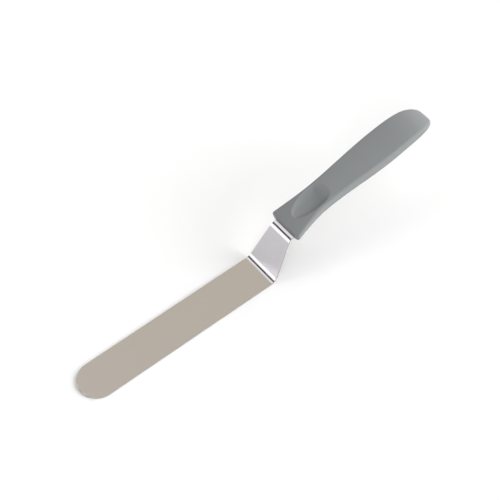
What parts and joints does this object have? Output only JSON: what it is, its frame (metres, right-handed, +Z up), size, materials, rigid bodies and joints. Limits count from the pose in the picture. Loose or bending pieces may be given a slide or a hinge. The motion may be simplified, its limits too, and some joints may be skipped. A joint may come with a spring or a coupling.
{
  "type": "icing spatula",
  "caption": "Offset icing spatula: a flat round-tipped steel blade with a bent neck, its tang moulded into a contoured plastic handle with a thumb rest.",
  "frame": {"origin": "on the plane the blade lies on, under the middle of the overall length", "axes": "-X towards the blade's round tip, +X towards the handle's butt, +Y across the blade, +Z up off the blade's top face"},
  "size_m": [0.2716, 0.0254, 0.055],
  "materials": {
    "steel": "satin",
    "grey_plastic": "fine moulded matte"
  },
  "bodies": {
    "root": {"blade": "steel", "handle": "grey_plastic"}
  },
  "joints": []
}
